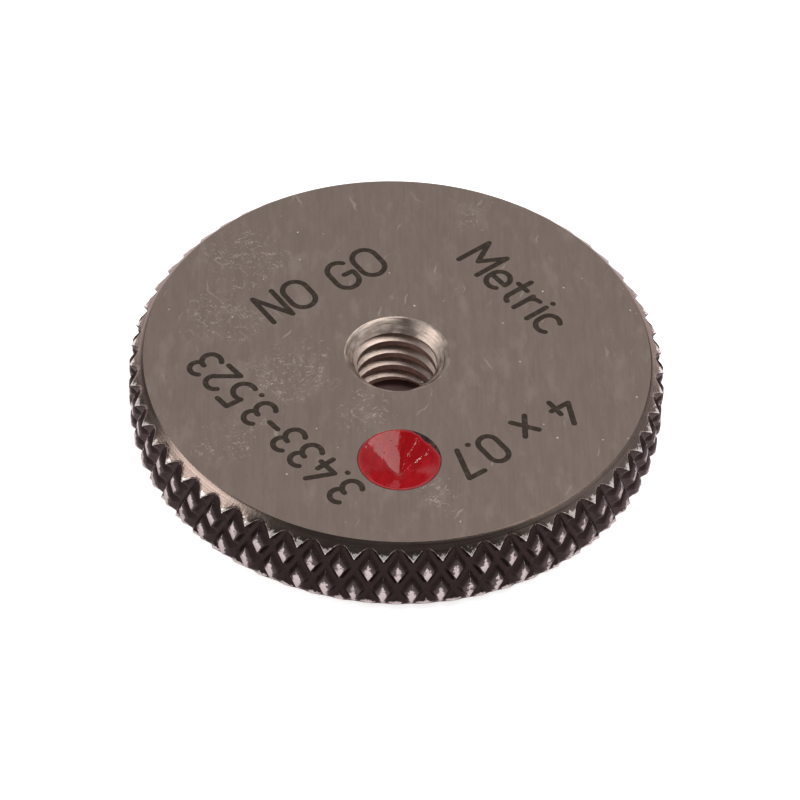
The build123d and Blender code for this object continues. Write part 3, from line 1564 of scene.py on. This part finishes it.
@dataclass(frozen=True)
class ChamferSteel:
    """Turned chamfer, dull, with its corners bright: wear with a painted highlight.

    Args:
        roughness: Roughness of the turned surface.
        lines_per_mm: Number of tool marks in a millimetre.
    """

    roughness: float = 0.25
    lines_per_mm: float = 16.0

    def material(self) -> bpy.types.Material:
        """Makes the finish."""
        r = Recipe("turned_chamfer")
        lines = r.turned_marks(self.lines_per_mm)
        cloud = r.noise(r.place, 1.6, 4.0)
        share = r.math("MULTIPLY", r.band(lines, 0.30, 0.62), r.band(cloud, 0.30, 0.55, 0.6, 1.0))
        base = r.mix(share, Colour.TURNED_DARK, Colour.TURNED)
        patches = r.noise(r.place, 3.2, 4.0, 0.65)
        worn = r.worn(patches, r.noise(r.place, 12.0, 3.0, 0.6))
        # Bright chamfer ends: wear with a painted highlight where the rounded ends reflect the paper.
        base = r.mix(worn, base, Colour.SCUFFED_AND_SHEEN)
        return r.finish(
            Base_Color=base,
            Metallic=r.band(worn, 0.0, 1.0, 1.0, 0.45),
            Specular_Tint=Colour.EDGE_TINT,
            Roughness=self.roughness,
            Normal=r.bumps((lines, 0.003), (r.noise(r.place, 9.0), 0.003)),
        )


@dataclass(frozen=True)
class ThreadSteel:
    """Cut thread: bright on the crests, with painted shade darkening it towards the roots.

    Args:
        crest_radius: Radius at the crests.
        root_radius: Radius at the roots.
        roughness: Roughness of the cut flanks.
    """

    crest_radius: float
    root_radius: float
    roughness: float = 0.42

    def material(self) -> bpy.types.Material:
        """Makes the finish."""
        r = Recipe("cut_thread")
        lines = r.turned_marks(16.0)
        patches = r.noise(r.place, 3.5, 4.0)
        height = self.root_radius - self.crest_radius
        # Painted shade in the roots of the thread.
        near = r.band(r.radius(), self.root_radius, self.crest_radius + 0.70 * height)
        base = r.mix(near, Colour.ROOT_SHADE, Colour.CREST)
        base = r.mix(r.band(patches, 0.35, 0.70, 0.0, 0.35), base, Colour.BORED_DARK)
        normal = r.bumps((lines, 0.003), (patches, 0.01))
        return r.finish(Base_Color=base, Metallic=1.0, Roughness=self.roughness, Normal=normal)


@dataclass(frozen=True)
class LaserMark:
    """Dark oxide of the laser marking, flush with the face.

    Args:
        roughness: Roughness of the oxide.
    """

    roughness: float = 0.5

    def material(self) -> bpy.types.Material:
        """Makes the finish."""
        r = Recipe("laser_mark")
        patches = r.noise(r.place, 5.0, 4.0, 0.65)
        base = r.mix(r.band(patches, 0.45, 0.75), Colour.MARK, Colour.MARK_WORN)
        grain = r.noise(r.stretch(r.place, (11, 0.35, 1)), 1.0, 3.0, 0.6)
        normal = r.bumps((grain, 0.002), (patches, 0.004))
        return r.finish(Base_Color=base, Metallic=0.6, Roughness=self.roughness, Normal=normal)


@dataclass(frozen=True)
class GlossLacquer:
    """Gloss red lacquer with faint brush marks.

    Args:
        roughness: Roughness of the gloss.
        gloss: Strength of its reflection.
    """

    roughness: float = 0.11
    gloss: float = 0.52

    def material(self) -> bpy.types.Material:
        """Makes the finish."""
        r = Recipe("red_lacquer")
        streaks = r.noise(r.stretch(r.place, (5.0, 1.2, 2.0), 20), 1.0, 3.0)
        base = r.mix(r.band(streaks, 0.40, 0.70), Colour.LACQUER, Colour.LACQUER_THIN)
        pits = r.cells(r.place, 2.6)
        pit = r.band(pits.outputs["Distance"], 0.16, 0.05)
        lumps = r.noise(r.place, 3.0, 2.0, 0.45)
        return r.finish(
            Base_Color=base,
            Metallic=0.0,
            Specular_IOR_Level=self.gloss,
            Roughness=self.roughness,
            Normal=r.bumps((lumps, 0.015), (pit, 0.006), (streaks, 0.002)),
        )


@dataclass
class Studio:
    """White paper, soft light and the camera.

    Distances are in millimetres and angles in degrees; azimuths are from +X.

    Args:
        top: Height of the ring's top face.
        focal_pixels: Focal length in pixels of an 800-pixel frame.
        distance: From the camera to the middle of the top face.
        azimuth: Side on which the camera stands.
        elevation: Its height above the face.
        roll: Clockwise turn of the picture.
        aim_drop: How far below the top face's middle, in the picture, the camera aims.
        aim_side: How far to its right the camera aims.
        paper_glow: Brightness that the paper adds to its own light where the camera sees it.
        dimness: Brightness of the room away from its glows.
        glows: Soft glows on the room's walls, each with its azimuth, elevation, spread and
            brightness.
        shaded: Distances from the axis between which the paper gets its added brightness, which
            it lacks in the ring's shade and in its bore.
        frame_pixels: Width of the picture in pixels.
        sensor: Width of the camera's sensor.
        paper_reach: Distance from the middle of the paper to its edges.
        key_shift: How far the wide panel hangs from its place straight above the ring.
    """

    top: float
    focal_pixels: float = 4100.0
    distance: float = 167.7
    azimuth: float = -92.28
    elevation: float = 45.1
    roll: float = 2.1
    aim_drop: float = 1.89
    aim_side: float = 0.11
    paper_glow: float = 0.78
    dimness: float = 0.14
    glows: tuple[tuple[float, float, float, float], ...] = (
        (88, 48, 48, 0.62),
        (88, 6, 22, 0.40),
        (0, 22, 45, 0.45),
        (125, 2, 22, 0.40),
        (47, 0, 30, 0.13),
    )
    shaded: tuple[float, float] = (8.0, 10.4)
    frame_pixels: int = 800
    sensor: float = 36.0
    paper_reach: float = 600.0
    key_shift: tuple[float, float, float] = (158, -9, 0)

    def direction(self, azimuth: float, elevation: float) -> Vector:
        """Unit vector towards a place in the studio."""
        around, up = math.radians(azimuth), math.radians(elevation)
        return Vector((math.cos(around) * math.cos(up), math.sin(around) * math.cos(up), math.sin(up)))

    def camera(self) -> None:
        """Sets up the camera at the photograph's angle."""
        data = bpy.data.cameras.new("camera")
        data.sensor_width = self.sensor
        data.lens = self.sensor * self.focal_pixels / self.frame_pixels
        data.clip_start = 0.01
        data.clip_end = 10.0
        camera = bpy.data.objects.new("camera", data)
        bpy.context.scene.collection.objects.link(camera)
        back = self.direction(self.azimuth, self.elevation)
        roll = Matrix.Rotation(math.radians(self.roll), 3, "Z").to_quaternion()
        turn = (-back).to_track_quat("-Z", "Y") @ roll
        face = Vector((0, 0, self.top))
        eye = face + back * self.distance
        look = face - turn @ Vector((-self.aim_side, self.aim_drop, 0)) - eye
        straight = turn.inverted() @ look
        tilt = Vector((0, 0, -1)).rotation_difference(straight)
        camera.rotation_mode = "QUATERNION"
        camera.rotation_quaternion = turn @ tilt
        camera.location = eye * MM
        bpy.context.scene.camera = camera

    def softbox(
        self,
        name: str,
        azimuth: float,
        elevation: float,
        distance: float,
        size: tuple[float, float],
        radiance: float,
        warmth: float,
    ) -> bpy.types.Object:
        """Hangs a rectangular soft light that faces the ring.

        Args:
            name: Name of the light.
            azimuth: Side on which it hangs.
            elevation: Its height above the face.
            distance: From the ring.
            size: Its width and height.
            radiance: Brightness of its surface, where 1 is white.
            warmth: Shift of its colour towards yellow, from 0.

        Returns:
            The light.
        """
        data = bpy.data.lights.new(name, "AREA")
        data.shape = "RECTANGLE"
        data.size, data.size_y = size[0] * MM, size[1] * MM
        data.energy = radiance * math.pi * data.size * data.size_y
        data.color = (1, 1 - 0.06 * warmth, 1 - 0.14 * warmth)
        light = bpy.data.objects.new(name, data)
        bpy.context.scene.collection.objects.link(light)
        back = self.direction(azimuth, elevation)
        light.location = (Vector((0, 0, self.top)) + back * distance) * MM
        light.rotation_mode = "QUATERNION"
        light.rotation_quaternion = (-back).to_track_quat("-Z", "Y")
        return light

    def lights(self) -> None:
        """Hangs the lights: a wide panel at the upper right, and a low one at the left."""
        key = self.softbox("key", 0, 90, 300, (300, 234), 2.6, 0.5)
        key.location += Vector(self.key_shift) * MM
        self.softbox("left_strip", 185, 29, 420, (250, 150), 4.6, 0.3)
        self.softbox("left_lamp", 195, 62, 420, (14, 14), 24.0, 0.2)
        self.softbox("high_lamp", 157, 42, 420, (12, 12), 24.0, 0.2)

    def room(self) -> None:
        """Makes the surroundings: dim, with soft glows behind the ring and at its right."""
        world = bpy.data.worlds.new("room")
        bpy.context.scene.world = world
        world.use_nodes = True
        walls = Nodes(world.node_tree)
        direction = walls.add("TexCoord", {}).outputs["Generated"]
        total = self.dimness
        for azimuth, elevation, spread, level in self.glows:
            towards = {0: direction, 1: self.direction(azimuth, elevation)}
            near = walls.add("VectorMath", towards, operation="DOT_PRODUCT").outputs["Value"]
            glow = walls.band(near, math.cos(math.radians(spread)), 1.0, 0.0, level)
            total = walls.math("ADD", total, glow)
        seen = walls.add("LightPath", {}).outputs["Is Camera Ray"]
        background = walls.tree.nodes["Background"]
        walls.put(background.inputs["Strength"], walls.math("MAXIMUM", seen, total))
        walls.put(background.inputs["Color"], (1, 1, 1, 1))

    def paper(self) -> None:
        """Lays the white paper that the ring stands on."""
        bm = bmesh.new()
        bmesh.ops.create_grid(bm, x_segments=1, y_segments=1, size=self.paper_reach)
        r = Recipe("white_paper")
        rays = r.add("LightPath", {}).outputs
        seen = r.highest(*(rays[f"Is {kind} Ray"] for kind in ("Camera", "Glossy", "Transmission")))
        open_paper = r.band(r.radius(), *self.shaded)
        base = r.mix(open_paper, Colour.PAPER_SHADED, Colour.PAPER)
        r.finish(Base_Color=base, Roughness=0.9, Specular_IOR_Level=0.0)
        lit = r.math("MULTIPLY", seen, open_paper)
        glow = r.add("Emission", {"Strength": r.math("MULTIPLY", lit, self.paper_glow)})
        both = r.add("AddShader", {0: r.shader.outputs[0], 1: glow.outputs[0]})
        r.put(r.tree.nodes["Material Output"].inputs["Surface"], both.outputs[0])
        floor = new_piece("paper", bm, [r.material])

    def set_up(self) -> None:
        """Builds the whole studio."""
        self.camera()
        self.lights()
        self.room()
        self.paper()
        bpy.context.scene.view_settings.view_transform = "Standard"


def main() -> None:
    """Builds the gauge and its studio, piece by piece."""
    logging.basicConfig(level=logging.INFO, format="%(message)s")
    low, high = (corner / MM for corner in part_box("gauge_ring"))
    thread_mount = next(mount for mount in frame["record"]["mounts"] if mount["name"] == "thread")
    ring = GaugeRing(high.x, high.z, thread_mount["dims"]["r_mm"])
    finishes = [
        GroundSteel(),
        ChamferSteel(),
        KnurledSteel(ring.rim_radius),
        TurnedSteel(
            "bored_mouth",
            Colour.BORED,
            Colour.BORED_DARK,
            roughness=0.44,
            lines_per_mm=12.0,
            mark_depth=0.006,
            evenness=0.15,
        ),
        ThreadSteel(ring.crest_radius, ring.thread.root_radius),
        # The bare drilled wall gets dark colours as painted shade of the recess.
        TurnedSteel("drilled_wall_painted_shade", Colour.TURNED_DARK, Colour.SKIN, roughness=0.3, mark_depth=0.003),
        LaserMark(),
    ]
    gauge = new_piece("gauge_ring_ground", ring.build(), [finish.material() for finish in finishes])
    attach(gauge, "root")
    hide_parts("gauge_ring")
    log.info("ring: %d faces", len(gauge.data.polygons))

    dab = new_piece("red_lacquer_dab", LacquerDab(ring).build(), [GlossLacquer().material()])
    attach(dab, "root")
    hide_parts("red_paint_dot")
    log.info("lacquer: %d faces", len(dab.data.polygons))

    Studio(ring.height).set_up()


if __name__ == "__main__":
    main()
